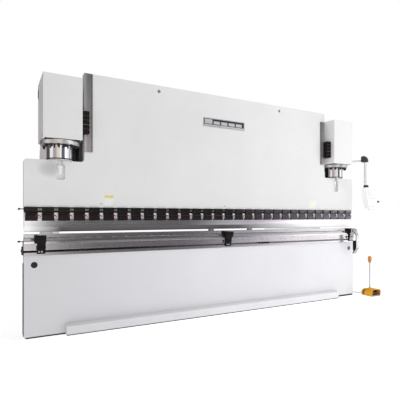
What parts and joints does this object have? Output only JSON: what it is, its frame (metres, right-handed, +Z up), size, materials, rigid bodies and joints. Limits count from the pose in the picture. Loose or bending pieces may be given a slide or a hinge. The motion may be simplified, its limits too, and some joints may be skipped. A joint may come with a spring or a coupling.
{
  "type": "hydraulic press brake",
  "caption": "Wide hydraulic press brake: a plate ram with a row of tool clamps over a slotted bed and V die, with back gauge, front supports, pendant and foot switch.",
  "frame": {"origin": "on the floor, at the machine's centre in X and in the bending plane (punch and die centre line) in Y", "axes": "+Z up, +X along the machine to the operator's right, -Y towards the operator; azimuth 0 looks along +Y at the front"},
  "size_m": [6.431, 2.5901, 3.62],
  "materials": {
    "ram_paint": "semi-gloss off-white machine enamel",
    "frame_paint": "semi-gloss off-white machine enamel",
    "bed_paint": "semi-gloss off-white enamel, slightly blue",
    "cover_paint": "semi-gloss off-white sheet enamel",
    "panel_plastic": "fine-textured off-white housing",
    "tool_steel": "ground tool steel, lengthwise streaks",
    "dark_steel": "oiled dark steel",
    "cylinder_steel": "turned steel",
    "bright_steel": "bright turned or ground steel",
    "chrome": "hard chrome, polished",
    "clamp_black": "blacked steel, satin",
    "plate_black": "blank dark plate",
    "plug_black": "moulded black",
    "motor_paint": "dark blue enamel",
    "switch_yellow": "yellow-orange moulding",
    "stop_red": "red moulding",
    "stop_orange": "orange-red moulding"
  },
  "bodies": {
    "root": {"c_frame_left": "frame_paint", "c_frame_right": "frame_paint", "bed_plate": "bed_paint", "bed_plug_left": "plug_black", "bed_plug_right": "plug_black", "foot_strip": "bed_paint", "worktable": "tool_steel", "die_holder": "dark_steel", "v_die": "tool_steel", "cylinder_left": "cylinder_steel", "cylinder_right": "cylinder_steel", "gland_flange_left": "bright_steel", "gland_flange_right": "bright_steel", "cylinder_cover_left": "cover_paint", "cylinder_cover_right": "cover_paint", "guide_rail_left": "dark_steel", "guide_rail_right": "dark_steel", "guide_shoe_left": "clamp_black", "guide_shoe_right": "clamp_black", "oil_tank": "frame_paint", "lower_cross_beam": "frame_paint", "pump_motor": "motor_paint", "valve_block": "cylinder_steel", "pressure_pipe_left": "bright_steel", "pressure_pipe_right": "bright_steel", "electrical_cabinet": "frame_paint", "backgauge_rail_left": "bright_steel", "backgauge_rail_right": "bright_steel", "pendant_bracket": "cover_paint", "foot_switch_body": "switch_yellow", "foot_switch_cable": "plug_black"},
    "ram": {"ram_plate": "ram_paint", "tool_clamps": "clamp_black", "punch": "tool_steel", "piston_rod_left": "chrome", "piston_rod_right": "chrome", "tie_stud_left": "chrome", "tie_stud_right": "chrome", "wear_strip_left": "bright_steel", "wear_strip_right": "bright_steel", "name_plate": "plate_black"},
    "cabinet_door": {"cabinet_door": "frame_paint"},
    "main_switch": {"main_switch": "stop_red"},
    "backgauge": {"backgauge_beam": "frame_paint"},
    "finger_left": {"backgauge_finger_left": "clamp_black"},
    "finger_right": {"backgauge_finger_right": "clamp_black"},
    "screw_left": {"backgauge_screw_left": "bright_steel"},
    "screw_right": {"backgauge_screw_right": "bright_steel"},
    "slider_left": {"support_slider_left": "clamp_black"},
    "slider_middle": {"support_slider_middle": "clamp_black"},
    "slider_right": {"support_slider_right": "clamp_black"},
    "arm_left": {"support_arm_left": "clamp_black"},
    "arm_middle": {"support_arm_middle": "clamp_black"},
    "arm_right": {"support_arm_right": "clamp_black"},
    "stop": {"support_stop": "clamp_black"},
    "pendant_arm": {"pendant_arm": "cover_paint"},
    "pendant_panel": {"pendant_panel": "panel_plastic"},
    "pendant_button": {"pendant_stop_button": "stop_red"},
    "treadle": {"foot_treadle": "plug_black"},
    "foot_button": {"foot_stop_button": "stop_orange"}
  },
  "joints": [
    {"name": "ram_slide", "type": "slide", "parent": "root", "child": "ram", "axis": [0, 0, 1], "range_m": [-0.035, 0.165]},
    {"name": "backgauge_slide", "type": "slide", "parent": "root", "child": "backgauge", "axis": [0, 1, 0], "range_m": [-0.28, 0.4]},
    {"name": "finger_left_slide", "type": "slide", "parent": "backgauge", "child": "finger_left", "axis": [1, 0, 0], "range_m": [-2, 0.34]},
    {"name": "finger_right_slide", "type": "slide", "parent": "backgauge", "child": "finger_right", "axis": [1, 0, 0], "range_m": [-0.34, 1.3]},
    {"name": "screw_left_turn", "type": "hinge", "parent": "root", "child": "screw_left", "pos_m": [-2.3, 0.32, 1.06], "axis": [0, 1, 0], "range_deg": [-4033, 5761]},
    {"name": "screw_right_turn", "type": "hinge", "parent": "root", "child": "screw_right", "pos_m": [2.3, 0.32, 1.06], "axis": [0, 1, 0], "range_deg": [-4033, 5761]},
    {"name": "support_left_slide", "type": "slide", "parent": "root", "child": "slider_left", "axis": [1, 0, 0], "range_m": [-0.12, 1.2]},
    {"name": "support_left_height", "type": "slide", "parent": "slider_left", "child": "arm_left", "axis": [0, 0, 1], "range_m": [0, 0.06]},
    {"name": "support_middle_slide", "type": "slide", "parent": "root", "child": "slider_middle", "axis": [1, 0, 0], "range_m": [-1.2, 1.2]},
    {"name": "support_middle_height", "type": "slide", "parent": "slider_middle", "child": "arm_middle", "axis": [0, 0, 1], "range_m": [0, 0.06]},
    {"name": "support_right_slide", "type": "slide", "parent": "root", "child": "slider_right", "axis": [1, 0, 0], "range_m": [-1.2, 0.05]},
    {"name": "support_right_height", "type": "slide", "parent": "slider_right", "child": "arm_right", "axis": [0, 0, 1], "range_m": [0, 0.06]},
    {"name": "stop_fold", "type": "hinge", "parent": "arm_right", "child": "stop", "pos_m": [2.886, -0.232, 1.292], "axis": [-1, 0, 0], "range_deg": [0, 90]},
    {"name": "pendant_swing", "type": "hinge", "parent": "root", "child": "pendant_arm", "pos_m": [2.77, 0.56, 2.66], "axis": [0, 0, 1], "range_deg": [-8, 80]},
    {"name": "pendant_swivel", "type": "hinge", "parent": "pendant_arm", "child": "pendant_panel", "pos_m": [3.11, -0.31, 2.14], "axis": [0, 0, 1], "range_deg": [-45, 45]},
    {"name": "pendant_stop_press", "type": "slide", "parent": "pendant_panel", "child": "pendant_button", "axis": [0, 0.9839, -0.1787], "range_m": [0, 0.006]},
    {"name": "treadle_press", "type": "hinge", "parent": "root", "child": "treadle", "pos_m": [3.285, -0.198, 0.044], "axis": [1, 0, 0], "range_deg": [0, 8]},
    {"name": "foot_stop_press", "type": "slide", "parent": "root", "child": "foot_button", "axis": [0, 0, -1], "range_m": [0, 0.006]},
    {"name": "door_swing", "type": "hinge", "parent": "root", "child": "cabinet_door", "pos_m": [2.953, 1.558, 1.25], "axis": [0, 0, 1], "range_deg": [0, 110]},
    {"name": "main_switch_turn", "type": "hinge", "parent": "cabinet_door", "child": "main_switch", "pos_m": [2.964, 0.87, 1.62], "axis": [1, 0, 0], "range_deg": [0, 90]}
  ],
  "couplings": [
    {"joint": "screw_left_turn", "follows": "backgauge_slide", "rad_per_m": 251.33},
    {"joint": "screw_right_turn", "follows": "backgauge_slide", "rad_per_m": 251.33}
  ]
}
